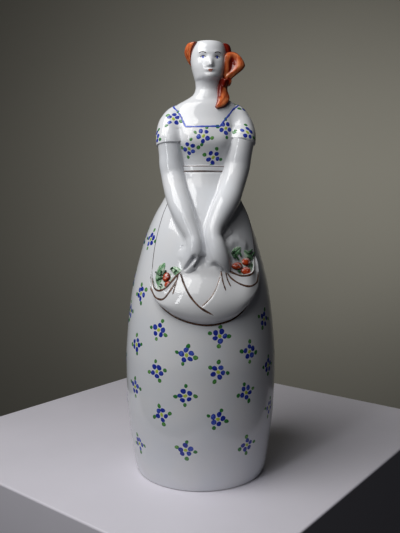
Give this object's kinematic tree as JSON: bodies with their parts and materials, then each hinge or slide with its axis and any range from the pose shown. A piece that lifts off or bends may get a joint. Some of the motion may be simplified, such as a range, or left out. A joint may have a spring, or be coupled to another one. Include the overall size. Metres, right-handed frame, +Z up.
{
  "type": "porcelain bottle",
  "caption": "Glazed porcelain bottle shaped as a woman in a long flowered dress who lifts her apron of fruit; hollow, with the mouth in the flat crown of the head and a cork bung",
  "frame": {"origin": "middle of the foot ring on the surface that the bottle stands on, on the skirt's axis", "axes": "+Z up through the mouth, -Y is the way that the figure faces, +X is the viewer's right seen from the front"},
  "size_m": [0.0996, 0.1017, 0.28],
  "materials": {
    "porcelain": "gloss",
    "scarf_glaze": "gloss",
    "fruit_glaze": "gloss",
    "leaf_glaze": "gloss",
    "cork": "matte"
  },
  "bodies": {
    "bottle": {"bottle_body": "porcelain", "head_and_neck": "porcelain", "waistband": "porcelain", "apron": "porcelain", "apron_pouch": "porcelain", "left_sleeve": "porcelain", "left_arm": "porcelain", "left_hand": "porcelain", "right_sleeve": "porcelain", "right_arm": "porcelain", "right_hand": "porcelain", "scarf_wrap": "scarf_glaze", "scarf_knot": "scarf_glaze", "scarf_loop": "scarf_glaze", "scarf_tail": "scarf_glaze", "fruit_1": "fruit_glaze", "fruit_2": "fruit_glaze", "fruit_3": "fruit_glaze", "fruit_4": "fruit_glaze", "fruit_5": "fruit_glaze", "leaf_1": "leaf_glaze", "leaf_2": "leaf_glaze", "leaf_3": "leaf_glaze", "leaf_4": "leaf_glaze", "leaf_5": "leaf_glaze", "leaf_6": "leaf_glaze"},
    "cork": {"cork_stopper": "cork"}
  },
  "joints": [
    {"name": "cork_pull", "type": "slide", "parent": "bottle", "child": "cork", "axis": [0, 0, 1], "range_m": [0, 0.03]}
  ]
}
